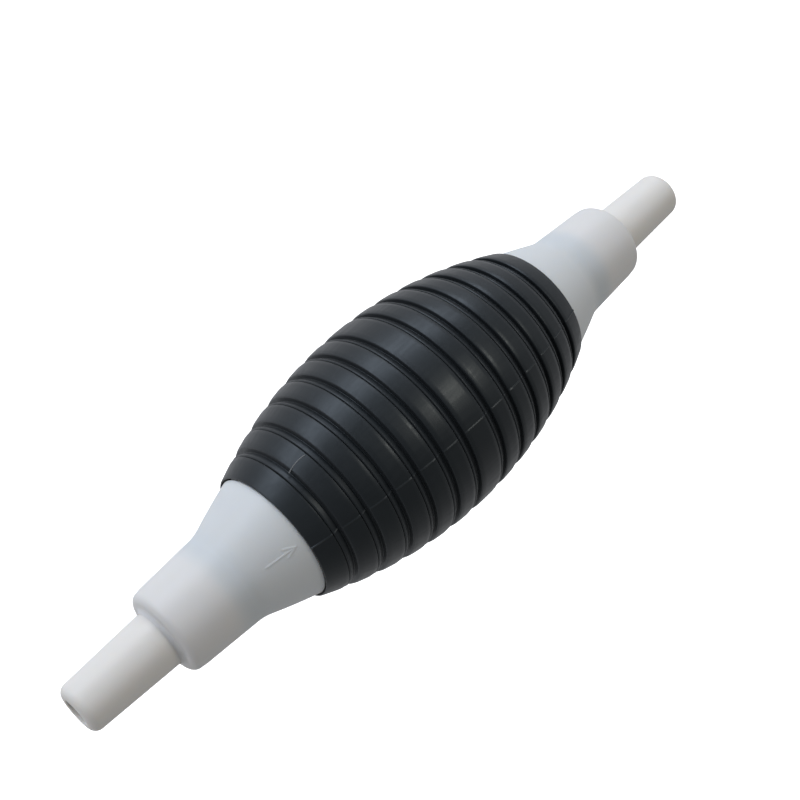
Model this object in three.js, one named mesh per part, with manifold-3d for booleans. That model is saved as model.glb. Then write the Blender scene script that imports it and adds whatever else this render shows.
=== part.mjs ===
// Hand-primed siphon: a ribbed rubber squeeze bulb with a plastic end fitting, a hose nipple
// and a spring-loaded check valve at each end.
//
// Frame: millimetres, origin at the centre of the bulb, +X along the flow from the inlet to the
// outlet, +Z the way the upper bulb wall is pressed from. Both valves let water pass towards +X.

import * as THREE from 'three';
import { mergeVertices } from 'three/addons/utils/BufferGeometryUtils.js';
import Module from 'manifold-3d';

const wasm = await Module();
wasm.setup();

// ---------------------------------------------------------------- driving dimensions

const GAP = 0.35; // clearance kept between pieces that touch on the real object

const BULB_RADIUS = 35; // over the bands, at mid length
const BULB_HALF_LENGTH = 59.1; // centre to mouth
const BARREL_ARC = 147; // lengthwise radius of the barrel shape
const GROOVES_PER_SIDE = 6;
const FIRST_GROOVE = 5.9; // centre to the middle of the first groove
const GROOVE_PITCH = 9;
const GROOVE_WIDTH = 3.4;
const GROOVE_DEPTH = 1.6;
const WALL_THICKNESS = 3.6; // rubber, measured at a band
const CAVITY_STEPS = 4; // straight steps of the barrel-shaped inside, to each side

const SQUEEZE_WALL_HALF_LENGTH = 40; // of the part of the bulb wall that is pressed in
const SQUEEZE_WALL_HALF_WIDTH = 22;

const PLUG_RADIUS = 21.1; // the fitting's end inside the bulb's mouth
const PLUG_END = 48; // how close to the bulb's centre it reaches
const BEAD_HEIGHT = 1; // snap bead that holds it in the mouth
const BEAD_START = 52;
const BEAD_LENGTH = 3;
const BEAD_SLOPE = 0.7;
const PLUG_CHAMFER = 0.6;

const NECK_POSITION = 76.5; // crease between the flared cone and the collar
const NECK_RADIUS = 15.5;
const FLARE_BEND = { along: 66, radius: 20.5 }; // where the cone's end tangents would meet
const FLARE_STEPS = 5;
const SHOULDER_POSITION = 102.3; // outer end of the collar
const SHOULDER_RADIUS = 14.05;
const SHOULDER_ROUNDING = 2.6;
const SHOULDER_STEPS = 3;
const SHOULDER_THICKNESS = 2.2;
const SKIRT_THICKNESS = 2.5; // wall of the flared cone

const NIPPLE_TIP = 133.4;
const NIPPLE_BASE_RADIUS = 9.15;
const NIPPLE_TIP_RADIUS = 8.05;
const NIPPLE_BORE_RADIUS = 6.2;
const TIP_BORE_RADIUS = 4.3; // the tip is necked in
const TIP_BORE_LENGTH = 2.5;
const TIP_TAPER = 2.5; // from one bore to the other
const TIP_ROUNDING = 2.8;
const TIP_ROUNDING_STEPS = 4;

const CARTRIDGE_BORE = 11.6; // radius of the fitting's inner sleeve
const CARTRIDGE_FIT = 0.4;
const CARTRIDGE_RADIUS = CARTRIDGE_BORE - CARTRIDGE_FIT;
const SLEEVE_THICKNESS = 1.8;
const SLEEVE_END = 64.5;
const POCKET_END = 72.5; // bottom of the hollow between sleeve and cone
const POCKET_FLOOR = 0.9;
const POCKET_CORNER = 1; // lengthwise, from the floor to the cone's inside
const NIPPLE_PLUG_END = 86;

const O_RING_SECTION = 0.8; // radius of the rubber section
const O_RING_GROOVE_FLOOR = 9.3;
const O_RING_GROOVE_WIDTH = 2.2;
const O_RING_RADIUS = (CARTRIDGE_BORE + O_RING_GROOVE_FLOOR) / 2;
const NIPPLE_O_RING_POSITION = 93.5;

// valve cartridge, measured downstream from the seat's upstream face
const VALVE_GAP = 0.3; // between the cartridge's pieces, along the axis
const SEAT_THICKNESS = 5;
const SEAT_HOLE = 5.5;
const SEAT_LEAD_IN = 1;
const WASHER_THICKNESS = 1;
const WASHER_RADIUS = 7.8;
const POPPET_RADIUS = 7.6;
const POPPET_DISC = 1.6;
const POPPET_NECK = 2.5;
const POPPET_HEAD = 3.5;
const HEAD_LENGTH = 1.6;
const HEAD_CHAMFER = 1.1;
const HEAD_LAND = 0.6;
const BOSS_LENGTH = 1.2; // centres the spring
const BOSS_CLEARANCE = 0.6;
const STEM_RADIUS = 2.1;
const STEM_END = 17.4;
const STEM_CHAMFER = 0.4;
const CAGE_LENGTH = 19.8; // end of the cage
const CAGE_WALL = 1.6;
const CAGE_RING_END = 8.4;
const SPIDER_THICKNESS = 3;
const HUB_RADIUS = 4.9;
const CAGE_LEGS = 3;
const LEG_WIDTH = 3;
const LEG_CLEARANCE = 0.3; // from the fitting's sleeve
const SPRING_RADIUS = 4.2; // to the middle of the wire
const WIRE_RADIUS = 0.4;
const SPRING_TURNS = 5; // the first and the last lie closed
const CLOSED_RISE = 2.15 * WIRE_RADIUS; // pitch of a closed turn

const BULB_SIDES = 32;
const FITTING_SIDES = 28;
const VALVE_SIDES = 16;
const RING_SIDES = 6;
const STEPS_PER_TURN = 9;
const ZONE_STEPS = 24;

const CUT_MARGIN = 1; // how far a cutting solid reaches past what it cuts
const MERGE_DISTANCE = 1e-4;

// ---------------------------------------------------------------- materials

const rubber = (name) => new THREE.MeshStandardMaterial({
  name, color: 0x2b2f33, roughness: 0.5, metalness: 0,
});
const fittingPlastic = () => new THREE.MeshStandardMaterial({
  name: 'fitting_plastic', color: 0xdfe3e6, roughness: 0.35, metalness: 0,
});
const nipplePlastic = () => new THREE.MeshStandardMaterial({
  name: 'nipple_plastic', color: 0xe8e6e0, roughness: 0.35, metalness: 0,
});
const valvePlastic = () => new THREE.MeshStandardMaterial({
  name: 'valve_plastic', color: 0xc9d3da, roughness: 0.4, metalness: 0,
});
const springSteel = () => new THREE.MeshStandardMaterial({
  name: 'spring_steel', color: 0xb9bcc0, roughness: 0.3, metalness: 1,
});

// ---------------------------------------------------------------- shape helpers

// the body of revolution about X of a closed outline of [along, radius] points
function turned(outline, sides) {
  const points = outline.map(([along, radius]) => new THREE.Vector2(radius, along));
  if (THREE.ShapeUtils.area(points) < 0) points.reverse();
  points.push(points[0].clone());
  return new THREE.LatheGeometry(points, sides).rotateZ(-Math.PI / 2);
}

// points of an arc about [along, radius]; angle 0 points along +X, 90 degrees away from the axis
function arc(along, radius, size, fromDegrees, toDegrees, steps) {
  return Array.from({ length: steps + 1 }, (_, i) => {
    const angle = THREE.MathUtils.degToRad(fromDegrees + ((toDegrees - fromDegrees) * i) / steps);
    return [along + size * Math.cos(angle), radius + size * Math.sin(angle)];
  });
}

// a closed ring of round section
function roundRing(along, radius, section) {
  return turned(arc(along, radius, section, 0, 360, RING_SIDES).slice(1), VALVE_SIDES);
}

function toSolid(geometry) {
  const bare = geometry.clone();
  bare.deleteAttribute('normal');
  bare.deleteAttribute('uv');
  const merged = mergeVertices(bare, MERGE_DISTANCE);
  const index = Array.from(merged.index.array);
  const triVerts = [];
  for (let i = 0; i < index.length; i += 3) {
    const [a, b, c] = index.slice(i, i + 3);
    if (a !== b && b !== c && c !== a) triVerts.push(a, b, c);
  }
  return new wasm.Manifold(new wasm.Mesh({
    numProp: 3,
    vertProperties: merged.attributes.position.array,
    triVerts: new Uint32Array(triVerts),
  }));
}

function toGeometry(solid) {
  const { vertProperties, triVerts } = solid.getMesh();
  const geometry = new THREE.BufferGeometry();
  geometry.setAttribute('position', new THREE.BufferAttribute(vertProperties, 3));
  geometry.setIndex(new THREE.BufferAttribute(triVerts, 1));
  geometry.computeVertexNormals();
  return geometry;
}

// a block that reaches from radius `inner` to `outer` along +Z, turned about X by `angle`
function radialBlock(start, end, inner, outer, width, angle) {
  return new THREE.BoxGeometry(end - start, width, outer - inner)
    .translate((start + end) / 2, 0, (inner + outer) / 2)
    .rotateX(angle);
}

function piece(name, geometry, material) {
  const mesh = new THREE.Mesh(toGeometry(toSolid(geometry)), material);
  mesh.name = name;
  return mesh;
}

// ---------------------------------------------------------------- bulb

// outer radius over the bands at a distance from the bulb's centre
function barrelRadius(along) {
  return BULB_RADIUS - BARREL_ARC + Math.sqrt(BARREL_ARC ** 2 - along ** 2);
}

// half of the outside, from mid length to the mouth
function bandsAndGrooves() {
  const points = [[0, BULB_RADIUS]];
  for (let i = 0; i < GROOVES_PER_SIDE; i += 1) {
    const middle = FIRST_GROOVE + i * GROOVE_PITCH;
    const [start, end] = [middle - GROOVE_WIDTH / 2, middle + GROOVE_WIDTH / 2];
    points.push([start, barrelRadius(start)]);
    points.push([middle, barrelRadius(middle) - GROOVE_DEPTH]);
    points.push([end, barrelRadius(end)]);
  }
  points.push([BULB_HALF_LENGTH, barrelRadius(BULB_HALF_LENGTH)]);
  return points;
}

// half of the inside, from the mouth to mid length: the neck that grips the fitting's plug,
// with a recess for its bead, and then the barrel
function neckAndCavity() {
  const neck = PLUG_RADIUS + GAP;
  const recess = neck + BEAD_HEIGHT;
  const recessStart = BEAD_START - GAP;
  const recessEnd = BEAD_START + BEAD_LENGTH + GAP;
  const neckEnd = PLUG_END - 1;
  const points = [
    [BULB_HALF_LENGTH, neck],
    [recessEnd, neck],
    [recessEnd, recess],
    [recessStart, recess],
    [recessStart, neck],
    [neckEnd, neck],
  ];
  for (let i = CAVITY_STEPS; i > 0; i -= 1) {
    const along = ((neckEnd - 1) * i) / CAVITY_STEPS;
    points.push([along, barrelRadius(along) - WALL_THICKNESS]);
  }
  return points;
}

function bulbShell() {
  const half = [...bandsAndGrooves(), ...neckAndCavity()];
  const otherHalf = half.slice(1).reverse().map(([along, radius]) => [-along, radius]);
  return toSolid(turned([...half, ...otherHalf], BULB_SIDES));
}

// an upright elliptical block over one side of the bulb; side is 1 for the top, -1 for the bottom
function squeezeZone(side, growth) {
  const ellipse = new THREE.Shape().absellipse(
    0, 0, SQUEEZE_WALL_HALF_LENGTH + growth, SQUEEZE_WALL_HALF_WIDTH + growth, 0, 2 * Math.PI,
  );
  const block = new THREE.ExtrudeGeometry(ellipse, {
    depth: BULB_RADIUS + CUT_MARGIN, bevelEnabled: false, curveSegments: ZONE_STEPS,
  });
  return toSolid(side > 0 ? block : block.rotateX(Math.PI));
}

function bulb() {
  const shell = bulbShell();
  const bodySolid = shell.subtract(squeezeZone(1, GAP / 2)).subtract(squeezeZone(-1, GAP / 2));
  const solids = {
    bulb_body: bodySolid,
    bulb_wall_upper: shell.intersect(squeezeZone(1, -GAP / 2)),
    bulb_wall_lower: shell.intersect(squeezeZone(-1, -GAP / 2)),
  };
  const group = new THREE.Group();
  for (const [name, solid] of Object.entries(solids)) {
    const mesh = new THREE.Mesh(toGeometry(solid), rubber('bulb_rubber'));
    mesh.name = name;
    group.add(mesh);
  }
  return group;
}

// ---------------------------------------------------------------- end fitting and nipple
// both are drawn for the outlet end and turned round for the inlet end

// the flare from the bulb's mouth to the neck, as a curve of [along, radius] points
function flare(inset) {
  const curve = new THREE.QuadraticBezierCurve(
    new THREE.Vector2(BULB_HALF_LENGTH - GAP, PLUG_RADIUS - inset),
    new THREE.Vector2(FLARE_BEND.along, FLARE_BEND.radius - inset),
    new THREE.Vector2(NECK_POSITION, NECK_RADIUS - inset),
  );
  return curve.getPoints(FLARE_STEPS).map((point) => [point.x, point.y]);
}

function endFitting() {
  const beadEnd = BEAD_START + BEAD_LENGTH;
  const nippleHole = NIPPLE_BASE_RADIUS + GAP;
  const sleeveRadius = CARTRIDGE_BORE + SLEEVE_THICKNESS;
  const skirtInside = flare(SKIRT_THICKNESS).filter(([along]) => along < POCKET_END - POCKET_CORNER);
  return turned([
    [PLUG_END, PLUG_RADIUS - SKIRT_THICKNESS],
    [PLUG_END, PLUG_RADIUS - PLUG_CHAMFER],
    [PLUG_END + PLUG_CHAMFER, PLUG_RADIUS],
    [BEAD_START, PLUG_RADIUS],
    [BEAD_START + BEAD_SLOPE, PLUG_RADIUS + BEAD_HEIGHT],
    [beadEnd - BEAD_SLOPE, PLUG_RADIUS + BEAD_HEIGHT],
    [beadEnd, PLUG_RADIUS],
    ...flare(0),
    ...arc(
      SHOULDER_POSITION - SHOULDER_ROUNDING, SHOULDER_RADIUS - SHOULDER_ROUNDING,
      SHOULDER_ROUNDING, 90, 0, SHOULDER_STEPS,
    ),
    [SHOULDER_POSITION, nippleHole],
    [SHOULDER_POSITION - SHOULDER_THICKNESS, nippleHole],
    [SHOULDER_POSITION - SHOULDER_THICKNESS, CARTRIDGE_BORE],
    [SLEEVE_END, CARTRIDGE_BORE],
    [SLEEVE_END, sleeveRadius],
    [POCKET_END, sleeveRadius],
    [POCKET_END, sleeveRadius + POCKET_FLOOR],
    ...skirtInside.reverse(),
  ], FITTING_SIDES);
}

function hoseNipple() {
  const plugStart = SHOULDER_POSITION - SHOULDER_THICKNESS - GAP;
  const grooveStart = NIPPLE_O_RING_POSITION - O_RING_GROOVE_WIDTH / 2;
  const grooveEnd = NIPPLE_O_RING_POSITION + O_RING_GROOVE_WIDTH / 2;
  return turned([
    [NIPPLE_PLUG_END, NIPPLE_BORE_RADIUS],
    [NIPPLE_PLUG_END, CARTRIDGE_RADIUS],
    [grooveStart, CARTRIDGE_RADIUS],
    [grooveStart, O_RING_GROOVE_FLOOR],
    [grooveEnd, O_RING_GROOVE_FLOOR],
    [grooveEnd, CARTRIDGE_RADIUS],
    [plugStart, CARTRIDGE_RADIUS],
    [plugStart, NIPPLE_BASE_RADIUS],
    [SHOULDER_POSITION, NIPPLE_BASE_RADIUS],
    ...arc(
      NIPPLE_TIP - TIP_ROUNDING, NIPPLE_TIP_RADIUS - TIP_ROUNDING,
      TIP_ROUNDING, 90, 0, TIP_ROUNDING_STEPS,
    ),
    [NIPPLE_TIP, TIP_BORE_RADIUS],
    [NIPPLE_TIP - TIP_BORE_LENGTH, TIP_BORE_RADIUS],
    [NIPPLE_TIP - TIP_BORE_LENGTH - TIP_TAPER, NIPPLE_BORE_RADIUS],
  ], FITTING_SIDES);
}

// ---------------------------------------------------------------- valve cartridge
// drawn with its seat's upstream face at zero and the flow along +X

function valveSeat() {
  const grooveStart = (SEAT_THICKNESS - O_RING_GROOVE_WIDTH) / 2;
  const grooveEnd = grooveStart + O_RING_GROOVE_WIDTH;
  return turned([
    [0, SEAT_HOLE + SEAT_LEAD_IN],
    [0, CARTRIDGE_RADIUS],
    [grooveStart, CARTRIDGE_RADIUS],
    [grooveStart, O_RING_GROOVE_FLOOR],
    [grooveEnd, O_RING_GROOVE_FLOOR],
    [grooveEnd, CARTRIDGE_RADIUS],
    [SEAT_THICKNESS, CARTRIDGE_RADIUS],
    [SEAT_THICKNESS, SEAT_HOLE],
    [SEAT_LEAD_IN, SEAT_HOLE],
  ], VALVE_SIDES);
}

const WASHER_START = SEAT_THICKNESS + VALVE_GAP;
const DISC_START = WASHER_START + WASHER_THICKNESS + VALVE_GAP;
const DISC_END = DISC_START + POPPET_DISC;
const SPIDER_START = CAGE_LENGTH - SPIDER_THICKNESS;

// from the nose: a head that holds the washer on its neck, the disc, a boss that centres the
// spring, and the guide stem
function valvePoppet() {
  const bossEnd = DISC_END + BOSS_LENGTH;
  const bossRadius = SPRING_RADIUS - WIRE_RADIUS - BOSS_CLEARANCE;
  return turned([
    [SEAT_THICKNESS - HEAD_LENGTH, 0],
    [SEAT_THICKNESS - HEAD_LENGTH, POPPET_HEAD - HEAD_CHAMFER],
    [SEAT_THICKNESS - HEAD_LAND, POPPET_HEAD],
    [SEAT_THICKNESS, POPPET_HEAD],
    [SEAT_THICKNESS, POPPET_NECK],
    [DISC_START, POPPET_NECK],
    [DISC_START, POPPET_RADIUS],
    [DISC_END, POPPET_RADIUS],
    [DISC_END, bossRadius],
    [bossEnd, bossRadius],
    [bossEnd, STEM_RADIUS],
    [STEM_END - STEM_CHAMFER, STEM_RADIUS],
    [STEM_END, STEM_RADIUS - STEM_CHAMFER],
    [STEM_END, 0],
  ], VALVE_SIDES);
}

function poppetWasher() {
  const hole = POPPET_NECK + GAP;
  const end = WASHER_START + WASHER_THICKNESS;
  return turned([
    [WASHER_START, hole],
    [WASHER_START, WASHER_RADIUS],
    [end, WASHER_RADIUS],
    [end, hole],
  ], VALVE_SIDES);
}

// helix whose first and last turns lie closed
class SpringCurve extends THREE.Curve {
  getPoint(t, target = new THREE.Vector3()) {
    const start = DISC_END + VALVE_GAP + WIRE_RADIUS;
    const end = SPIDER_START - VALVE_GAP - WIRE_RADIUS;
    const turn = t * SPRING_TURNS;
    const open = THREE.MathUtils.clamp(turn - 1, 0, SPRING_TURNS - 2);
    const openRise = (end - start - 2 * CLOSED_RISE) / (SPRING_TURNS - 2);
    const along = start + (turn - open) * CLOSED_RISE + open * openRise;
    const angle = 2 * Math.PI * turn;
    return target.set(along, SPRING_RADIUS * Math.cos(angle), SPRING_RADIUS * Math.sin(angle));
  }
}

function valveSpring() {
  const wire = new THREE.Shape(
    Array.from({ length: RING_SIDES }, (_, i) => {
      const angle = (2 * Math.PI * i) / RING_SIDES;
      return new THREE.Vector2(WIRE_RADIUS * Math.cos(angle), WIRE_RADIUS * Math.sin(angle));
    }),
  );
  return new THREE.ExtrudeGeometry(wire, {
    steps: SPRING_TURNS * STEPS_PER_TURN, extrudePath: new SpringCurve(), bevelEnabled: false,
  });
}

// a ring against the seat, legs, and a spider with the stem's guide bore
function springCage() {
  const inner = CARTRIDGE_RADIUS - CAGE_WALL;
  const legInner = inner + LEG_CLEARANCE;
  const legOuter = CARTRIDGE_RADIUS - LEG_CLEARANCE;
  const legStart = CAGE_RING_END - CUT_MARGIN;
  const ring = turned([
    [WASHER_START, inner],
    [WASHER_START, CARTRIDGE_RADIUS],
    [CAGE_RING_END, CARTRIDGE_RADIUS],
    [CAGE_RING_END, inner],
  ], VALVE_SIDES);
  const hub = turned([
    [SPIDER_START, 0],
    [SPIDER_START, HUB_RADIUS],
    [CAGE_LENGTH, HUB_RADIUS],
    [CAGE_LENGTH, 0],
  ], VALVE_SIDES);
  const guideBore = turned([
    [SPIDER_START - CUT_MARGIN, 0],
    [SPIDER_START - CUT_MARGIN, STEM_RADIUS + GAP],
    [CAGE_LENGTH + CUT_MARGIN, STEM_RADIUS + GAP],
    [CAGE_LENGTH + CUT_MARGIN, 0],
  ], VALVE_SIDES);
  const armInner = HUB_RADIUS - CUT_MARGIN;
  let cage = toSolid(ring).add(toSolid(hub));
  for (let i = 0; i < CAGE_LEGS; i += 1) {
    const angle = (2 * Math.PI * i) / CAGE_LEGS;
    const leg = radialBlock(legStart, CAGE_LENGTH, legInner, legOuter, LEG_WIDTH, angle);
    const arm = radialBlock(SPIDER_START, CAGE_LENGTH, armInner, legOuter, LEG_WIDTH, angle);
    cage = cage.add(toSolid(leg)).add(toSolid(arm));
  }
  return toGeometry(cage.subtract(toSolid(guideBore)));
}

// ---------------------------------------------------------------- assembly

// each end's turn about Z, and where its valve seat's upstream face lies
const ENDS = [
  { name: 'inlet', turn: Math.PI, seatAt: -(NIPPLE_PLUG_END - VALVE_GAP) },
  { name: 'outlet', turn: 0, seatAt: NIPPLE_PLUG_END - VALVE_GAP - CAGE_LENGTH },
];

function fittingGroup({ name, turn }) {
  const group = new THREE.Group();
  group.rotation.z = turn;
  const oRing = roundRing(NIPPLE_O_RING_POSITION, O_RING_RADIUS, O_RING_SECTION);
  group.add(
    piece(`${name}_end_fitting`, endFitting(), fittingPlastic()),
    piece(`${name}_hose_nipple`, hoseNipple(), nipplePlastic()),
    piece(`${name}_nipple_o_ring`, oRing, rubber('seal_rubber')),
  );
  return group;
}

function valveGroup({ name, seatAt }) {
  const group = new THREE.Group();
  group.position.x = seatAt;
  const oRing = roundRing(SEAT_THICKNESS / 2, O_RING_RADIUS, O_RING_SECTION);
  group.add(
    piece(`${name}_valve_seat`, valveSeat(), valvePlastic()),
    piece(`${name}_seat_o_ring`, oRing, rubber('seal_rubber')),
    piece(`${name}_valve_poppet`, valvePoppet(), valvePlastic()),
    piece(`${name}_poppet_washer`, poppetWasher(), rubber('seal_rubber')),
    piece(`${name}_valve_spring`, valveSpring(), springSteel()),
    piece(`${name}_spring_cage`, springCage(), valvePlastic()),
  );
  return group;
}

const siphon = new THREE.Group();
siphon.add(bulb());
for (const end of ENDS) siphon.add(fittingGroup(end), valveGroup(end));

export default siphon;
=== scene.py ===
# Looks of a hand-primed siphon: a ribbed rubber squeeze bulb between two milky plastic end
# fittings with hose nipples, and a spring-loaded check valve inside each end.
#
# The frame's units are metres, with the origin at the bulb's centre, +X along the flow and +Z
# through the upper wall. Outlines are (along, radius) points in millimetres, drawn for the
# outlet end: `end` is 1 there and -1 at the inlet, its mirror image. The bulb's mould parts on
# the plane z = 0, so `side` is 1 for its upper half and -1 for its lower half.

import math

import bmesh
import bpy
import numpy as np
from mathutils import Matrix, Vector


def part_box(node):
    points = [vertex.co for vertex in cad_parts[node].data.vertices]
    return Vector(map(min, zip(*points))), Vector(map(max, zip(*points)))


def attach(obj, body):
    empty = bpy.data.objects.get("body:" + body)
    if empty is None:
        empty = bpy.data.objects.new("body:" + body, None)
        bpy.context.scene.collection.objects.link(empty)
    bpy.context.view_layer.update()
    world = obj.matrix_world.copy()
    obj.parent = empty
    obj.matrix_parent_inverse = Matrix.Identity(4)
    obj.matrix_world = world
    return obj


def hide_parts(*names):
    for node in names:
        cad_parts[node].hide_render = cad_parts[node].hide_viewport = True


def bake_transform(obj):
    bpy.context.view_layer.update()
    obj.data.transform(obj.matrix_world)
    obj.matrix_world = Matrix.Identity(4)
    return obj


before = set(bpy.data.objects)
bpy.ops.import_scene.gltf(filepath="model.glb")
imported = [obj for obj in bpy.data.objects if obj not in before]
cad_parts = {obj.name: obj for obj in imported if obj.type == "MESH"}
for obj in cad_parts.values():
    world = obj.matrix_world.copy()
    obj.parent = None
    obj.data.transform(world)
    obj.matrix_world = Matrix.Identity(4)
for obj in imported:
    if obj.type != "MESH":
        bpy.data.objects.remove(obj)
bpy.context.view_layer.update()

MM = 0.001
ENDS = {"inlet": -1, "outlet": 1}
SIDES = {"upper": 1, "lower": -1}


def reach(node):
    """Where a node starts and stops along X, in millimetres."""
    low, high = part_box(node)
    return low.x / MM, high.x / MM


# ---------------------------------------------------------------- sizes, in millimetres

BULB_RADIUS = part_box("bulb_wall_upper")[1].z / MM
MOUTH = reach("bulb_body")[1]
PLUG_END, SHOULDER = reach("outlet_end_fitting")
NIPPLE_PLUG_END, NIPPLE_TIP = reach("outlet_hose_nipple")

BARREL_ARC = 147  # lengthwise radius of the barrel shape
WALL = 3.6
GROOVES_PER_SIDE = 6
FIRST_GROOVE = 5.9  # from the bulb's middle
GROOVE_PITCH = 9
GROOVE_HALF_WIDTH = 1.4  # from the groove's middle to its walls
GROOVE_DEPTH = 1.8
EDGE_ROUNDING = 0.5  # of the bands
CROWN_WIDTH = 1.2  # beside each edge, where a band starts to curve down
CROWN_DROP = 0.15
FLOOR_ROUNDING = 0.15
CORNER_GAP = 0.05  # between the floor's rounding and the groove's wall
CREST_DEPTH = 0.28  # of a round ring in each groove, below the bands
CREST_HALF_WIDTH = 0.42
CREST_END = 20  # degrees past the crest's top, where the slope down to the corner starts
CREST_OFFSET = -0.88  # the ring lies this much towards the inlet of the groove's middle
VALLEY_DEPTH = 0.8  # between the ring and the band on its inlet side
LIP_ROUNDING = 0.45  # of the bulb's mouths
LIP_INSET = 0.65  # how far in the rounding's centre lies, as a share of its size
LIP_SLOPE = 66  # degrees from the axis, where the rounding starts
MOUTH_FLARE = 0.85  # how much wider than the neck the bulb opens at its mouth
MOUTH_FLARE_LENGTH = 2.5
PARTING_HEIGHT = 0.15  # of the line where the mould's halves meet
PARTING_WIDTH = 0.35
PARTING_RISE = 2  # before each mouth, where the line grows to three times its height

PLUG_RADIUS = 21.1
PLUG_CHAMFER = 0.6
PLUG_STOP = 1.2  # before the bulb's mouth, where the plug widens to the cone
BEAD_START = 52
BEAD_LENGTH = 3
BEAD_HEIGHT = 1
BEAD_FOOT = 0.2  # beside the bead, where the plug is straight again
CAVITY_END = PLUG_END - 2  # where the bulb's wall stops following the barrel
NECK_START = PLUG_END - 1  # where the cavity has narrowed to the rubber neck
NECK_FIT = 0.25  # between the rubber neck and the plug
EDGE_SLOPE = 0.3  # of the recess for the bead, and of the edges in the fitting's bore
NECK = 76.5  # crease between the flared cone and the collar
NECK_RADIUS = 15.5
NECK_BLEND = 2.4  # how far to each side the crease is rounded
CONE_RADIUS = 21.6  # of the cone at the bulb's mouth
CONE_EDGE = (0.3, 0.1)  # bevel of the cone's edge there, along and inwards
FLARE_BEND = (8.3, 2.5)  # along and inwards from the mouth, the point that bends its curve
SHOULDER_RADIUS = 14.05
SHOULDER_ROUNDING = 2.6
SHOULDER_THICKNESS = 2.2
SKIRT = 2.5  # wall of the plug and the cone
CARTRIDGE_BORE = 11.6  # of the sleeve that the valve sits in
CARTRIDGE_RADIUS = 11.2
SLEEVE_RADIUS = 13.4
SLEEVE_END = 64.5
POCKET_END = 72.5  # bottom of the pocket between the sleeve and the cone
POCKET_BEVEL = 0.4

NIPPLE_BASE_RADIUS = 9.15
NIPPLE_TIP_RADIUS = 8.05
NIPPLE_BORE = 6.2
TIP_BORE = 4.3
TIP_ROUNDING = 2.8
TIP_EDGE = 0.4  # rounding of the tip's opening
TIP_LAND = 2.5  # how deep the tip's narrow bore goes, and how long its funnel is
NIPPLE_FILLET = 1.5  # of the shoulder, where the nipple leaves it
NIPPLE_FIT = 0.1  # between the nipple and the shoulder's hole
PLUG_FIT = 0.35  # between the nipple's plug and the shoulder
NIPPLE_TAPER = (4, 0.12)  # past the shoulder and inwards, where the taper steepens

O_RING_SECTION = 0.8
O_RING_FLOOR = 9.3
O_RING_GROOVE = 2.2  # width
O_RING_RADIUS = (CARTRIDGE_BORE + O_RING_FLOOR) / 2
NIPPLE_O_RING = 93.5

# valve pieces, measured downstream from the seat's upstream face
CHAMFER = 0.2  # of the pieces' edges
SEAT_THICKNESS = 5
SEAT_HOLE = 5.5
SEAT_ROUNDING = 1  # of the hole's upstream edge
WASHER_START, WASHER_END = 5.3, 6.3
WASHER_RADIUS = 7.8
WASHER_FIT = 0.35  # between the washer and the poppet's neck
DISC_START, DISC_END = 6.6, 8.2
DISC_RADIUS = 7.6
HEAD_LENGTH = 1.6
HEAD_RADIUS = 3.5
HEAD_ROUNDING = 1.1
HEAD_FLAT = 2.3  # radius of the head's flat face
POPPET_NECK = 2.5
BOSS_RADIUS = 3.2
BOSS_END = 9.4
STEM_RADIUS = 2.1
STEM_ROUNDING = 0.6
STEM_FOOT = 0.3  # slope between the boss and the stem
STEM_END = 17.4
SPRING_START, SPRING_END = 8.9, 16.1
SPRING_RADIUS = 4.2
SPRING_TURNS = 5
WIRE_RADIUS = 0.4
CLOSED_PITCH = 2.15  # of the spring's first and last turns, in wire radii


# ---------------------------------------------------------------- outlines


def arc(along, radius, size, first, last, steps=8):
    """Points of an arc; 0 degrees points along +X and 90 degrees away from the axis."""
    turns = np.radians(np.linspace(first, last, steps + 1))
    return [(along + size * math.cos(t), radius + size * math.sin(t)) for t in turns]


def smoothstep(value):
    """0 up to 0, 1 from 1 on, and a smooth rise between them."""
    held = np.clip(value, 0, 1)
    return held * held * (3 - 2 * held)


def barrel(along):
    """Radius over the bands."""
    return BULB_RADIUS - BARREL_ARC + np.sqrt(BARREL_ARC**2 - along**2)


def groove_section():
    """A groove's section as (offset from its middle, depth below the bands): a shallow valley, a
    ring's crest, and a slope down to a deep corner."""
    edge = GROOVE_HALF_WIDTH + EDGE_ROUNDING
    height = VALLEY_DEPTH - CREST_DEPTH
    turns = np.radians([*np.linspace(-90, 0, 7), CREST_END / 2, CREST_END])
    crest = [(CREST_OFFSET + CREST_HALF_WIDTH * math.sin(t),
              CREST_DEPTH + height * (1 - math.cos(t))) for t in turns]
    corner = arc(GROOVE_HALF_WIDTH - FLOOR_ROUNDING - CORNER_GAP, GROOVE_DEPTH - FLOOR_ROUNDING,
                 FLOOR_ROUNDING, 120, 5, 4)
    shoulder = [(edge - EDGE_ROUNDING * math.cos(t), CROWN_DROP + EDGE_ROUNDING * (1 - math.sin(t)))
                for t in np.radians(np.linspace(0, 80, 8))]
    shoulder += [(edge + CROWN_WIDTH * t, CROWN_DROP * (1 - t) ** 2)
                 for t in np.linspace(0.1, 1, 6)]
    return [(-x, depth) for x, depth in shoulder[::-1]] + crest + corner + shoulder


def groove_middles():
    """Where the grooves lie on one side of the bulb's middle."""
    return [FIRST_GROOVE + GROOVE_PITCH * i for i in range(GROOVES_PER_SIDE)]


def outer_skin(start, stop):
    """The bulb's outside between two places along it, each a mouth or a crest's top, as
    (along, radius) points."""
    points = [(x, 0 if abs(x) == MOUTH else CREST_DEPTH) for x in (start, stop)] + [(0, 0)]
    for sign in (1, -1):
        for middle in groove_middles():
            points += [(round(sign * middle + x, 4), depth) for x, depth in groove_section()]
            points.append((sign * (middle + GROOVE_PITCH / 2), 0))
    return [(x, barrel(x) - depth) for x, depth in sorted(set(points)) if start <= x <= stop]


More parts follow.
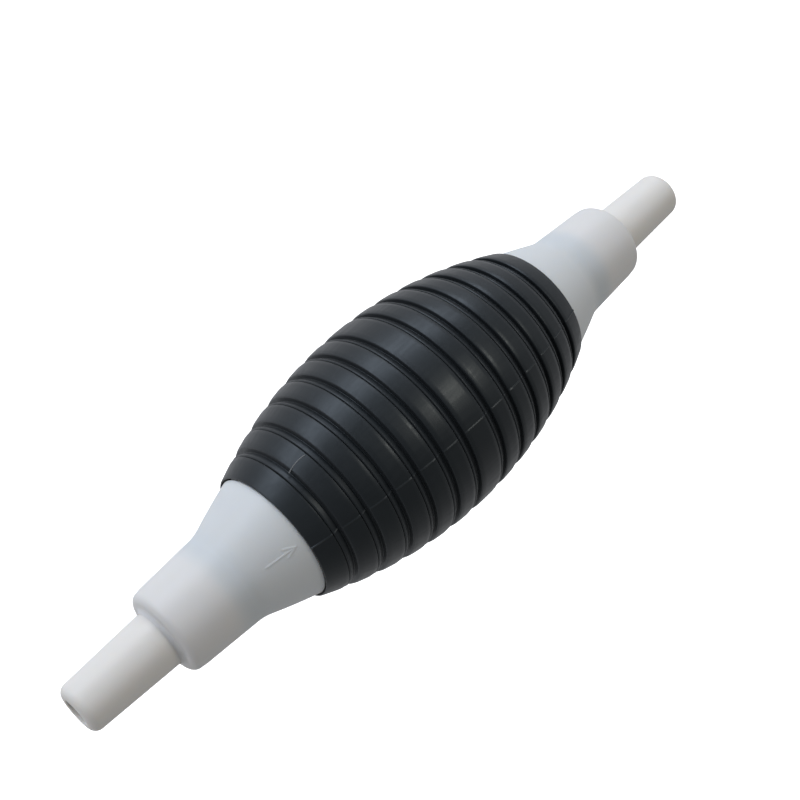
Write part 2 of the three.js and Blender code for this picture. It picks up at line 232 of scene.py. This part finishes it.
def inner_skin(start, stop):
    """The bulb's inside between two places along it: the cavity, and the neck at each mouth."""
    neck = PLUG_RADIUS + NECK_FIT
    recess = neck + BEAD_HEIGHT
    bead_end = BEAD_START + BEAD_LENGTH
    half = [(x, barrel(x) - WALL) for x in np.linspace(0, CAVITY_END, 12)]
    half += [(NECK_START, neck), (BEAD_START - EDGE_SLOPE, neck), (BEAD_START, recess)]
    half += [(bead_end, recess), (bead_end + EDGE_SLOPE, neck)]
    half += [(MOUTH - MOUTH_FLARE_LENGTH, neck), (MOUTH, neck + MOUTH_FLARE)]
    whole = sorted({(-x, r) for x, r in half} | set(half))
    ends = [(x, np.interp(x, *zip(*whole))) for x in (start, stop)]
    return sorted({p for p in whole if start < p[0] < stop} | set(ends))


def bulb_outline(start, stop):
    """Closed outline of a stretch of the bulb's wall, and how many of its points lie outside."""
    outside = outer_skin(start, stop)
    lip_start = MOUTH - LIP_ROUNDING
    lip = arc(lip_start, barrel(MOUTH) - LIP_INSET * LIP_ROUNDING, LIP_ROUNDING, LIP_SLOPE, 0, 5)
    if stop == MOUTH:
        outside = [p for p in outside if p[0] < lip_start] + lip
    if start == -MOUTH:
        outside = [(-x, r) for x, r in lip[::-1]] + [p for p in outside if p[0] > -lip_start]
    return outside + inner_skin(start, stop)[::-1], len(outside)


def bezier(first, middle, last, steps):
    """Points of a quadratic curve."""
    first, middle, last = (np.array(p, float) for p in (first, middle, last))
    spread = np.linspace(0, 1, steps + 1)
    return [tuple((1 - t) ** 2 * first + 2 * t * (1 - t) * middle + t**2 * last) for t in spread]


def flare(inset, steps=48):
    """The cone from the bulb's mouth to the neck."""
    along, inwards = FLARE_BEND
    return bezier((MOUTH, CONE_RADIUS - inset), (MOUTH + along, CONE_RADIUS - inwards - inset),
                  (NECK, NECK_RADIUS - inset), steps)


def plug_outline():
    """The plug that fills the bulb's neck, with a bead that holds it there."""
    bead_end = BEAD_START + BEAD_LENGTH
    bevel, inwards = CONE_EDGE
    points = [(PLUG_END, PLUG_RADIUS - PLUG_CHAMFER)]
    points += [(PLUG_END + PLUG_CHAMFER / 3, PLUG_RADIUS - PLUG_CHAMFER / 3)]
    points += [(PLUG_END + PLUG_CHAMFER, PLUG_RADIUS), (BEAD_START - BEAD_FOOT, PLUG_RADIUS)]
    for x in np.linspace(BEAD_START + BEAD_FOOT / 2, bead_end - BEAD_FOOT / 2, 12):
        swell = math.sin(math.pi * (x - BEAD_START) / BEAD_LENGTH) ** 0.7
        points.append((x, PLUG_RADIUS + BEAD_HEIGHT * swell))
    points += [(bead_end + BEAD_FOOT, PLUG_RADIUS), (MOUTH - PLUG_STOP, PLUG_RADIUS)]
    return points + [(MOUTH - bevel, CONE_RADIUS - inwards)]


def collar_outline(hole):
    """The cone, the collar and its rounded shoulder, up to the hole that the nipple fills."""
    taper = (SHOULDER_RADIUS - NECK_RADIUS) / (SHOULDER - NECK)
    collar_start = NECK + NECK_BLEND
    rounding_start = SHOULDER - SHOULDER_ROUNDING
    cone = [p for p in flare(0) if p[0] < NECK - NECK_BLEND]
    blend_end = (collar_start, NECK_RADIUS + taper * NECK_BLEND)
    points = cone + bezier(cone[-1], (NECK, NECK_RADIUS), blend_end, 10)[1:]
    points += [(x, NECK_RADIUS + taper * (x - NECK))
               for x in np.linspace(collar_start, rounding_start, 12)[1:-1]]
    points += arc(rounding_start, SHOULDER_RADIUS - SHOULDER_ROUNDING, SHOULDER_ROUNDING, 88, 0, 12)
    points += [(SHOULDER + NIPPLE_FILLET * (1 - math.cos(t)),
                hole + NIPPLE_FILLET * (1 - math.sin(t)))
               for t in np.radians(np.linspace(0, 80, 8))]
    return points


def bore_outline(hole):
    """The fitting's inside from the nipple's hole to the plug's end: the bore that the valve
    sits in, a pocket round its sleeve, and the hollow cone."""
    shoulder_back = SHOULDER - SHOULDER_THICKNESS
    pocket_edge = SLEEVE_RADIUS + POCKET_BEVEL
    points = [(SHOULDER + NIPPLE_FILLET * 0.8, hole), (shoulder_back, hole)]
    points += [(shoulder_back, CARTRIDGE_BORE), (SLEEVE_END + EDGE_SLOPE, CARTRIDGE_BORE)]
    points += [(SLEEVE_END, CARTRIDGE_BORE + EDGE_SLOPE), (SLEEVE_END, SLEEVE_RADIUS - EDGE_SLOPE)]
    points += [(SLEEVE_END + EDGE_SLOPE, SLEEVE_RADIUS), (POCKET_END - POCKET_BEVEL, SLEEVE_RADIUS)]
    points += [(POCKET_END, pocket_edge), (POCKET_END, pocket_edge + 0.5)]
    points += [p for p in flare(SKIRT, 12)[::-1] if p[0] < POCKET_END - 1]
    return points + [(PLUG_END, PLUG_RADIUS - SKIRT)]


def end_fitting_outline():
    """Closed outline of an end fitting, and how many of its points lie outside."""
    hole = NIPPLE_BASE_RADIUS + NIPPLE_FIT
    outside = plug_outline() + collar_outline(hole)
    return outside + bore_outline(hole), len(outside)


def nipple_outline():
    """The nipple, its plug with the O-ring's groove, and its bore, which narrows at the tip."""
    along, inwards = NIPPLE_TAPER
    groove_start = NIPPLE_O_RING - O_RING_GROOVE / 2
    groove_end = NIPPLE_O_RING + O_RING_GROOVE / 2
    plug_start = SHOULDER - SHOULDER_THICKNESS - PLUG_FIT
    outline = [(NIPPLE_PLUG_END, NIPPLE_BORE), (NIPPLE_PLUG_END, CARTRIDGE_RADIUS - EDGE_SLOPE)]
    outline += [(NIPPLE_PLUG_END + EDGE_SLOPE, CARTRIDGE_RADIUS), (groove_start, CARTRIDGE_RADIUS)]
    outline += [(groove_start, O_RING_FLOOR), (groove_end, O_RING_FLOOR)]
    outline += [(groove_end, CARTRIDGE_RADIUS), (plug_start, CARTRIDGE_RADIUS)]
    outline += [(plug_start, NIPPLE_BASE_RADIUS), (SHOULDER, NIPPLE_BASE_RADIUS)]
    outline += [(SHOULDER + along, NIPPLE_BASE_RADIUS - inwards)]
    outline += arc(NIPPLE_TIP - TIP_ROUNDING, NIPPLE_TIP_RADIUS - TIP_ROUNDING,
                   TIP_ROUNDING, 90, 0, 12)
    outline += arc(NIPPLE_TIP - TIP_EDGE, TIP_BORE + TIP_EDGE, TIP_EDGE, 0, -90, 4)
    outline += [(NIPPLE_TIP - TIP_LAND, TIP_BORE), (NIPPLE_TIP - 2 * TIP_LAND, NIPPLE_BORE)]
    return outline


def o_ring_outline(along):
    """An O-ring's round section, in its groove at that place."""
    return arc(along, O_RING_RADIUS, O_RING_SECTION, 0, 337.5, 15)


def seat_outline():
    """The valve seat: a disc with a rounded hole, and a groove for its O-ring."""
    groove_start = (SEAT_THICKNESS - O_RING_GROOVE) / 2
    groove_end = groove_start + O_RING_GROOVE
    outline = [(0, SEAT_HOLE + SEAT_ROUNDING), (0, CARTRIDGE_RADIUS - CHAMFER)]
    outline += [(CHAMFER, CARTRIDGE_RADIUS)]
    outline += [(groove_start, CARTRIDGE_RADIUS), (groove_start, O_RING_FLOOR)]
    outline += [(groove_end, O_RING_FLOOR), (groove_end, CARTRIDGE_RADIUS)]
    outline += [(SEAT_THICKNESS, CARTRIDGE_RADIUS), (SEAT_THICKNESS, SEAT_HOLE + CHAMFER)]
    outline += arc(SEAT_ROUNDING, SEAT_HOLE + SEAT_ROUNDING, SEAT_ROUNDING, 270, 180, 6)[:-1]
    return outline


def poppet_outline():
    """The poppet: a round head that holds the washer, a disc, a boss and the guide stem."""
    head = SEAT_THICKNESS - HEAD_LENGTH
    outline = [(head, 0), (head, HEAD_FLAT)]
    outline += arc(head + HEAD_ROUNDING, HEAD_RADIUS - HEAD_ROUNDING, HEAD_ROUNDING, 170, 90, 6)
    outline += [(SEAT_THICKNESS, HEAD_RADIUS), (SEAT_THICKNESS, POPPET_NECK)]
    outline += [(DISC_START, POPPET_NECK), (DISC_START, DISC_RADIUS - CHAMFER)]
    outline += [(DISC_START + CHAMFER, DISC_RADIUS), (DISC_END - CHAMFER, DISC_RADIUS)]
    outline += [(DISC_END, DISC_RADIUS - CHAMFER), (DISC_END, BOSS_RADIUS)]
    outline += [(BOSS_END - CHAMFER, BOSS_RADIUS), (BOSS_END, BOSS_RADIUS - CHAMFER)]
    outline += [(BOSS_END, STEM_RADIUS + STEM_FOOT), (BOSS_END + STEM_FOOT, STEM_RADIUS)]
    outline += arc(STEM_END - STEM_ROUNDING, STEM_RADIUS - STEM_ROUNDING, STEM_ROUNDING, 90, 0, 4)
    outline += [(STEM_END, 0)]
    return outline


def washer_outline():
    """The soft ring between the poppet's head and its disc."""
    hole = POPPET_NECK + WASHER_FIT
    outline = [(WASHER_START, hole), (WASHER_START, WASHER_RADIUS - CHAMFER)]
    outline += [(WASHER_START + CHAMFER, WASHER_RADIUS), (WASHER_END - CHAMFER, WASHER_RADIUS)]
    outline += [(WASHER_END, WASHER_RADIUS - CHAMFER), (WASHER_END, hole)]
    return outline


# ---------------------------------------------------------------- mesh building


def mesh_object(name, vertices, faces, material, sharp=35):
    """A closed mesh with its faces pointing out, smooth except at edges sharper than `sharp`."""
    data = bpy.data.meshes.new(name)
    data.from_pydata(vertices, [], faces)
    build = bmesh.new()
    build.from_mesh(data)
    bmesh.ops.remove_doubles(build, verts=build.verts, dist=1e-7)
    bmesh.ops.recalc_face_normals(build, faces=build.faces)
    build.to_mesh(data)
    build.free()
    data.shade_smooth()
    data.set_sharp_from_angle(angle=math.radians(sharp))
    data.materials.append(material)
    piece = bpy.data.objects.new(name, data)
    bpy.context.scene.collection.objects.link(piece)
    return piece


def sweep(rows, closed):
    """Faces between rows of equal length, each a closed outline; open sweeps get end caps."""
    count, size = len(rows), len(rows[0])
    faces = []
    for a in range(count if closed else count - 1):
        b = (a + 1) % count
        for i in range(size):
            j = (i + 1) % size
            faces.append((a * size + i, b * size + i, b * size + j, a * size + j))
    if not closed:
        faces.append(tuple(range(size)))
        faces.append(tuple((count - 1) * size + i for i in range(size)))
    return [tuple(p) for row in rows for p in row], faces


def turned(name, outline, material, turns, closed=True, side=1, end=1, shift=0, relief=None):
    """A closed outline turned about X; turn 0 faces -Y and rises towards +Z times `side`.

    relief(along, radius, turn) gives each point's added radius in millimetres."""
    along, radius = np.array(outline, float).T
    rows = []
    for turn in turns:
        grown = radius + (relief(along, radius, turn) if relief else 0)
        y, z = -grown * math.cos(turn), side * grown * math.sin(turn)
        rows.append(np.column_stack((end * along + shift, y, z)) * MM)
    return mesh_object(name, *sweep(rows, closed), material)


def full_turn(steps):
    return np.radians(np.linspace(0, 360, steps, endpoint=False))


def tube(name, line, radius, material, sides=12):
    """A round wire along a line of points in metres, with closed ends."""
    points = [Vector(p) for p in line]
    rows = []
    for i, point in enumerate(points):
        ahead = (points[min(i + 1, len(points) - 1)] - points[max(i - 1, 0)]).normalized()
        across = ahead.cross(Vector((1, 0, 0))).normalized()
        up = across.cross(ahead)
        rows.append([point + (across * math.cos(t) + up * math.sin(t)) * radius
                     for t in full_turn(sides)])
    return mesh_object(name, *sweep(rows, False), material)


# ---------------------------------------------------------------- materials


def add(tree, kind, inputs=None, **settings):
    """A node with its settings, and its inputs by name: a socket is linked, a value is set."""
    node = tree.nodes.new(kind)
    for key, value in settings.items():
        setattr(node, key, value)
    for key, value in (inputs or {}).items():
        if isinstance(value, bpy.types.NodeSocket):
            tree.links.new(value, node.inputs[key])
        else:
            node.inputs[key].default_value = value
    return node


def noise(tree, scale, detail=3, stretch=(1, 1, 1)):
    """Noise whose grains are about 1 / scale metres across, before stretching."""
    place = add(tree, "ShaderNodeTexCoord").outputs["Object"]
    place = add(tree, "ShaderNodeMapping", {"Vector": place, "Scale": stretch}).outputs["Vector"]
    inputs = {"Vector": place, "Scale": scale, "Detail": detail}
    return add(tree, "ShaderNodeTexNoise", inputs).outputs["Fac"]


def spread(tree, value, low, high, to_low=0.0, to_high=1.0):
    """The value mapped from one range to another, smoothly and held at the ends."""
    inputs = {"Value": value, "From Min": low, "From Max": high}
    inputs.update({"To Min": to_low, "To Max": to_high})
    held = add(tree, "ShaderNodeMapRange", inputs, interpolation_type="SMOOTHSTEP")
    return held.outputs["Result"]


def mixed(tree, factor, first, second):
    """Two colours mixed; each is a colour or another mix's socket. The node has sockets for
    numbers and vectors too, so its colours are numbers 6 and 7 coming in and 2 going out."""
    node = add(tree, "ShaderNodeMix", data_type="RGBA")
    for index, value in ((0, factor), (6, first), (7, second)):
        if isinstance(value, bpy.types.NodeSocket):
            tree.links.new(value, node.inputs[index])
        else:
            node.inputs[index].default_value = (*value, 1) if index else value
    return node.outputs[2]


def material(name, colour, roughness, bump=None, **constants):
    """A Principled material. colour and roughness build sockets from the tree; bump is
    (height socket builder, strength, height in millimetres)."""
    made = bpy.data.materials.new(name)
    made.use_nodes = True
    tree = made.node_tree
    shader = tree.nodes["Principled BSDF"]
    tree.links.new(colour(tree), shader.inputs["Base Color"])
    tree.links.new(roughness(tree), shader.inputs["Roughness"])
    if bump:
        height, strength, distance = bump
        inputs = {"Height": height(tree), "Strength": strength, "Distance": distance * MM}
        bumped = add(tree, "ShaderNodeBump", inputs)
        tree.links.new(bumped.outputs["Normal"], shader.inputs["Normal"])
    for key, value in constants.items():
        shader.inputs[key.replace("_", " ")].default_value = value
    return made


def bulb_rubber():
    """Satin black moulded rubber with a slightly uneven skin and fine lengthwise streaks."""

    def colour(tree):
        cloud = spread(tree, noise(tree, 70), 0.35, 0.7)
        return mixed(tree, cloud, (0.004, 0.0065, 0.009), (0.006, 0.009, 0.0115))

    def roughness(tree):
        streaks = noise(tree, 700, 4, stretch=(0.12, 1, 1))
        return spread(tree, streaks, 0.3, 0.7, 0.34, 0.43)

    def height(tree):
        return noise(tree, 2600, 4)

    return material("bulb_rubber", colour, roughness, (height, 0.08, 0.06), IOR=1.5,
                    Specular_Tint=(0.88, 0.95, 1, 1), Sheen_Weight=0.15, Sheen_Roughness=0.4)


def scuffed_rubber():
    """The bulb's rubber where its skin is rubbed dull and grey."""

    def colour(tree):
        return mixed(tree, noise(tree, 900), (0.13, 0.135, 0.14), (0.19, 0.195, 0.2))

    def roughness(tree):
        return spread(tree, noise(tree, 1500), 0.3, 0.7, 0.55, 0.7)

    return material("scuffed_rubber", colour, roughness)


def zone(tree, start, stop, soft):
    """1 between two distances from the bulb's centre along X, in millimetres, and 0 elsewhere,
    with soft edges."""
    place = add(tree, "ShaderNodeTexCoord").outputs["Object"]
    along = add(tree, "ShaderNodeSeparateXYZ", {"Vector": place}).outputs["X"]
    along = add(tree, "ShaderNodeMath", {0: along}, operation="ABSOLUTE").outputs[0]
    begins = spread(tree, along, (start - soft) * MM, (start + soft) * MM)
    ends = spread(tree, along, (stop - soft) * MM, (stop + soft) * MM, 1, 0)
    return add(tree, "ShaderNodeMath", {0: begins, 1: ends}, operation="MULTIPLY").outputs[0]


def milky_plastic(name, light, shade, painted_shade_zones=()):
    """Milky moulded plastic; each of painted_shade_zones is (start, stop, softness, colour) of a
    stretch along X, where a darker, cooler colour is painted in as shade."""

    def colour(tree):
        flow = spread(tree, noise(tree, 60, stretch=(0.35, 1, 1)), 0.3, 0.7)
        mix = mixed(tree, flow, light, shade)
        # painted shade: each zone mixes a darker, cooler colour into its stretch along X
        for *stretch, painted_shade_colour in painted_shade_zones:
            mix = mixed(tree, zone(tree, *stretch), mix, painted_shade_colour)
        return mix

    def roughness(tree):
        return spread(tree, noise(tree, 220), 0.3, 0.7, 0.38, 0.46)

    def height(tree):
        return noise(tree, 900, 3)

    return material(name, colour, roughness, (height, 0.04, 0.04), IOR=1.45,
                    Subsurface_Weight=0.3, Subsurface_Scale=1.5 * MM,
                    Subsurface_Radius=(1, 0.8, 0.6))


def seal_rubber():
    """Black rubber of the O-rings and the washers."""

    def colour(tree):
        return mixed(tree, noise(tree, 900), (0.012, 0.012, 0.013), (0.03, 0.03, 0.032))

    def roughness(tree):
        return spread(tree, noise(tree, 1500), 0.3, 0.7, 0.35, 0.5)

    def height(tree):
        return noise(tree, 4000)

    return material("seal_rubber", colour, roughness, (height, 0.1, 0.03), IOR=1.5)


def spring_steel():
    """Bright drawn wire, with streaks along X."""

    def colour(tree):
        streaks = noise(tree, 1200, stretch=(0.3, 1, 1))
        return mixed(tree, streaks, (0.52, 0.53, 0.55), (0.66, 0.66, 0.67))

    def roughness(tree):
        return spread(tree, noise(tree, 3000), 0.3, 0.7, 0.18, 0.32)

    def height(tree):
        return noise(tree, 6000)

    return material("spring_steel", colour, roughness, (height, 0.08, 0.01), Metallic=1.0)


RUBBER = bulb_rubber()
SCUFFED = scuffed_rubber()
# Painted shade: the cone and neck are tinted darker and cooler, and darkest in a band at the neck's
# crease, where the dark hollow inside shows through the milky wall.
FITTING = milky_plastic("fitting_plastic", (0.755, 0.745, 0.735), (0.735, 0.725, 0.715),
                        ((30, 84, 4.5, (0.68, 0.70, 0.71)), (76, 83, 3, (0.63, 0.66, 0.68))))
NIPPLE = milky_plastic("nipple_plastic", (0.82, 0.795, 0.76), (0.80, 0.775, 0.74))
VALVE = milky_plastic("valve_plastic", (0.60, 0.66, 0.70), (0.55, 0.61, 0.66))
SEAL = seal_rubber()
STEEL = spring_steel()


# ---------------------------------------------------------------- bulb

# the wall's middle stretch ends on the crests of these grooves
SPLIT = {end: round(end * (FIRST_GROOVE + 3 * GROOVE_PITCH) + CREST_OFFSET, 4) for end in (-1, 1)}
MARK_START = -50.4  # along the bulb, of a flow mark on the upper skin
MARK_END = -43.9
MARK_TURN = math.radians(48.7)  # above the parting plane
MARK_BEND = 0.5
MARK_RADIUS = 0.18


def parting_line(outside):
    """Thin raised line where the mould's halves meet, higher beside the mouths."""

    def relief(along, radius, turn):
        distance = radius * math.sin(turn) / PARTING_WIDTH
        near_mouth = smoothstep(np.abs(along) - MOUTH + PARTING_RISE)
        line = PARTING_HEIGHT * (1 - smoothstep(distance)) * (1 + 2 * near_mouth)
        line[outside:] = 0
        return line

    return relief


def half_turn():
    """Turns of half of the bulb, closer together beside the parting line."""
    fine = [0, 0.2, 0.4, 0.6, 0.9, 1.5, 2.5]
    coarse = np.linspace(4.5, 175.5, 77)
    return np.radians([*fine, *coarse, *(180 - t for t in fine[::-1])])


def press(piece):
    """Bakes the piece's place into its mesh."""
    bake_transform(piece)


def bulb_skin(half, stretch, start, stop, end):
    """One stretch of half of the bulb's skin; `end` is 0 for the middle stretch."""
    side = SIDES[half]
    outline, outside = bulb_outline(start, stop)
    name = f"bulb_skin_{half}_{stretch}"
    piece = turned(name, outline, RUBBER, half_turn(), False, side, relief=parting_line(outside))
    press(piece)
    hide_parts(*(["bulb_body"] if end else ["bulb_body", f"bulb_wall_{half}"]))


for half in SIDES:
    bulb_skin(half, "inlet_end", -MOUTH, SPLIT[-1], -1)
    bulb_skin(half, "middle", SPLIT[-1], SPLIT[1], 0)
    bulb_skin(half, "outlet_end", SPLIT[1], MOUTH, 1)


def flow_mark():
    """A thin bent line that the moulding left on the upper skin's second band from the inlet,
    rubbed dull and grey."""
    line = []
    for t in np.linspace(0, 1, 9):
        along = MARK_START + (MARK_END - MARK_START) * t
        turn = MARK_TURN + MARK_BEND / barrel(along) * math.sin(math.pi * t)
        radius = barrel(along) - MARK_RADIUS / 3
        line.append(np.array((along, -radius * math.cos(turn), radius * math.sin(turn))) * MM)
    piece = tube("bulb_flow_mark", line, MARK_RADIUS * MM, SCUFFED)
    press(piece)
    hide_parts("bulb_body")


flow_mark()


# ---------------------------------------------------------------- ends

ARROW_TIP = 62  # raised flow arrow on the inlet's cone, pointing towards the bulb
ARROW_TAIL = 71.4
ARROW_TURN = math.radians(7.5)  # above the parting plane
ARROW_HEAD = 3.2
ARROW_SPREAD = 0.45  # half-width of the head, as a share of its length
ARROW_HEIGHT = 0.15
ARROW_STROKE = 0.4


def arrow_relief(along, radius, turn):
    """Height of the flow arrow's three strokes: a shaft and a chevron."""
    across = radius * ((turn - ARROW_TURN + math.pi) % (2 * math.pi) - math.pi)
    strokes = [((ARROW_TAIL, 0), (ARROW_TIP, 0))]
    strokes += [((ARROW_TIP + ARROW_HEAD, s * ARROW_HEAD * ARROW_SPREAD), (ARROW_TIP, 0))
                for s in (1, -1)]
    height = np.zeros(len(along))
    for (x0, y0), (x1, y1) in strokes:
        length = (x1 - x0) ** 2 + (y1 - y0) ** 2
        t = np.clip(((along - x0) * (x1 - x0) + (across - y0) * (y1 - y0)) / length, 0, 1)
        gap = np.hypot(along - x0 - t * (x1 - x0), across - y0 - t * (y1 - y0))
        height = np.maximum(height, ARROW_HEIGHT * (1 - smoothstep(gap / ARROW_STROKE - 0.2)))
    return height


def flow_arrow(outside):
    """The arrow's relief on the outside of an outline only."""

    def relief(along, radius, turn):
        height = arrow_relief(along, radius, turn)
        height[outside:] = 0
        return height

    return relief


def fitting_turns(fine):
    """A full turn in steps of 3 degrees, or of half a degree under the flow arrow where fine."""
    if not fine:
        return full_turn(120)
    return np.radians([*np.arange(0, 15, 0.5), *np.arange(15, 360, 3.0)])


def end_pieces(name, end):
    """An end fitting's shell, its nipple and the nipple's O-ring, all fixed."""
    outline, outside = end_fitting_outline()
    inlet = name == "inlet"
    fitting = turned(f"{name}_fitting_shell", outline, FITTING, fitting_turns(inlet), end=end,
                     relief=flow_arrow(outside) if inlet else None)
    nipple = turned(f"{name}_nipple_tube", nipple_outline(), NIPPLE, full_turn(96), end=end)
    seal = turned(f"{name}_nipple_seal", o_ring_outline(NIPPLE_O_RING), SEAL, full_turn(72),
                  end=end)
    rows = ((fitting, "end_fitting", "fitting_plastic"), (nipple, "hose_nipple", "nipple_plastic"),
            (seal, "nipple_o_ring", "seal_rubber"))
    for piece, node, slot in rows:
        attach(piece, "root")
        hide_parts(f"{name}_{node}")


def coil(seat):
    """Centre line of the valve spring, in metres; its first and last turns lie closed."""
    steps = SPRING_TURNS * 36
    closed = CLOSED_PITCH * WIRE_RADIUS
    rise = (SPRING_END - SPRING_START - 2 * closed) / (SPRING_TURNS - 2)
    line = []
    for turn in np.linspace(0, SPRING_TURNS, steps + 1):
        opened = min(max(turn - 1, 0), SPRING_TURNS - 2)
        along = SPRING_START + (turn - opened) * closed + opened * rise
        t = 2 * math.pi * turn
        y, z = SPRING_RADIUS * math.cos(t), SPRING_RADIUS * math.sin(t)
        line.append(np.array((seat + along, y, z)) * MM)
    return line


def valve_pieces(name):
    """A valve's seat and its O-ring, the poppet with its washer, which move, and the spring
    between the two; the cage is the CAD node."""
    seat_at = reach(f"{name}_valve_seat")[0]
    body = f"{name}_valve"
    ring = o_ring_outline(SEAT_THICKNESS / 2)
    rows = (("seat_ring", seat_outline(), VALVE, "root", "valve_seat", "valve_plastic"),
            ("seat_seal", ring, SEAL, "root", "seat_o_ring", "seal_rubber"),
            ("poppet_body", poppet_outline(), VALVE, body, "valve_poppet", "valve_plastic"),
            ("washer_disc", washer_outline(), SEAL, body, "poppet_washer", "seal_rubber"))
    for word, outline, finish, rides_on, node, slot in rows:
        piece = turned(f"{name}_{word}", outline, finish, full_turn(64), shift=seat_at)
        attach(piece, rides_on)
        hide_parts(f"{name}_{node}")
    spring = tube(f"{name}_spring_coil", coil(seat_at), WIRE_RADIUS * MM, STEEL)
    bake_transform(spring)
    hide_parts(f"{name}_valve_spring")
    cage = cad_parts[f"{name}_spring_cage"]
    cage.data.materials.clear()
    cage.data.materials.append(VALVE)


for name, end in ENDS.items():
    end_pieces(name, end)
    valve_pieces(name)


# ---------------------------------------------------------------- camera, light and floor


def direction(azimuth, elevation):
    """Unit vector towards a place at that azimuth and elevation, in degrees."""
    a, e = math.radians(azimuth), math.radians(elevation)
    return Vector((math.sin(a) * math.cos(e), -math.cos(a) * math.cos(e), math.sin(e)))


def add_camera(azimuth, elevation, roll, lens, distance, aim):
    """The camera, at a distance in millimetres from the point that it looks at."""
    back = direction(azimuth, elevation)
    level = Vector((0, 0, 1)).cross(back).normalized()
    turn = math.radians(roll)
    up = back.cross(level) * math.cos(turn) + level * math.sin(turn)
    camera = bpy.data.objects.new("camera", bpy.data.cameras.new("camera"))
    camera.data.lens = lens
    camera.data.clip_start = 0.01
    camera.matrix_world = Matrix((up.cross(back), up, back)).transposed().to_4x4()
    camera.location = Vector(aim) * MM + back * distance * MM
    bpy.context.scene.collection.objects.link(camera)
    bpy.context.scene.camera = camera


def add_softbox(name, towards, distance, length, width, radiance, colour):
    """A rectangular area light that faces the origin, its length level and along X."""
    data = bpy.data.lights.new(name, "AREA")
    data.shape = "RECTANGLE"
    data.size = length
    data.size_y = width
    data.energy = radiance * math.pi * length * width
    data.color = colour
    light = bpy.data.objects.new(name, data)
    across = Vector((0, 0, 1)).cross(towards) if abs(towards.z) < 0.9 else Vector((1, 0, 0))
    across = (across - across.dot(towards) * towards).normalized()
    light.matrix_world = Matrix((across, towards.cross(across), towards)).transposed().to_4x4()
    light.location = towards * distance
    bpy.context.scene.collection.objects.link(light)


def add_world(towards, low, high):
    """A pale studio surround, brightest in one direction and darkest opposite."""
    world = bpy.data.worlds.new("studio")
    world.use_nodes = True
    tree = world.node_tree
    place = add(tree, "ShaderNodeTexCoord").outputs["Generated"]
    inputs = {0: place, 1: towards}
    rise = add(tree, "ShaderNodeVectorMath", inputs, operation="DOT_PRODUCT").outputs["Value"]
    inputs = {"Value": rise, "From Min": -1, "From Max": 1}
    share = add(tree, "ShaderNodeMapRange", inputs).outputs["Result"]
    tree.links.new(mixed(tree, share, low, high), tree.nodes["Background"].inputs["Color"])
    bpy.context.scene.world = world


def add_floor(depth, size, corner):
    """A plain white floor below the part, which hangs in the air as if held by its hoses, with a
    rim that curves up into a wall all round. It neither lights nor shades the part."""
    edge = [(0.01, 0)]
    edge += [(size - corner + corner * math.sin(t), corner - corner * math.cos(t))
             for t in np.radians(np.linspace(0, 90, 13))]
    edge.append((size, size))
    spokes = full_turn(64)
    vertices = [(r * math.cos(t), r * math.sin(t), z - depth) for r, z in edge for t in spokes]
    count = len(spokes)
    faces = []
    for first in range(0, count * (len(edge) - 1), count):
        for i in range(count):
            j = (i + 1) % count
            faces.append((first + i, first + j, first + count + j, first + count + i))
    faces.append(tuple(range(count)))

    def colour(tree):
        return mixed(tree, noise(tree, 3), (0.93, 0.93, 0.93), (0.95, 0.95, 0.95))

    def roughness(tree):
        return spread(tree, noise(tree, 8), 0.3, 0.7, 0.7, 0.8)

    pale = material("pale_floor", colour, roughness, Emission_Color=(1, 1, 1, 1),
                    Emission_Strength=1.0)
    floor = mesh_object("floor", vertices, faces, pale)
    floor.visible_diffuse = False
    floor.visible_glossy = False
    floor.visible_transmission = False
    floor.visible_shadow = False


add_camera(azimuth=-27.33, elevation=21.58, roll=30.56, lens=59.81, distance=417.9,
           aim=(1.53, 1.66, 5.50))
add_softbox("key", Vector((0, -0.1, 0.99)).normalized(), distance=0.9, length=1.8, width=0.4,
            radiance=2.8, colour=(0.80, 0.88, 1))
add_softbox("low_warm", direction(26, 14), distance=0.9, length=0.14, width=0.2,
            radiance=11, colour=(1, 0.96, 0.86))
add_world(towards=(0, 0.8, 0.6), low=(0.20, 0.20, 0.195), high=(0.66, 0.67, 0.70))
add_floor(depth=0.5, size=3, corner=1)
bpy.context.scene.view_settings.view_transform = "Standard"
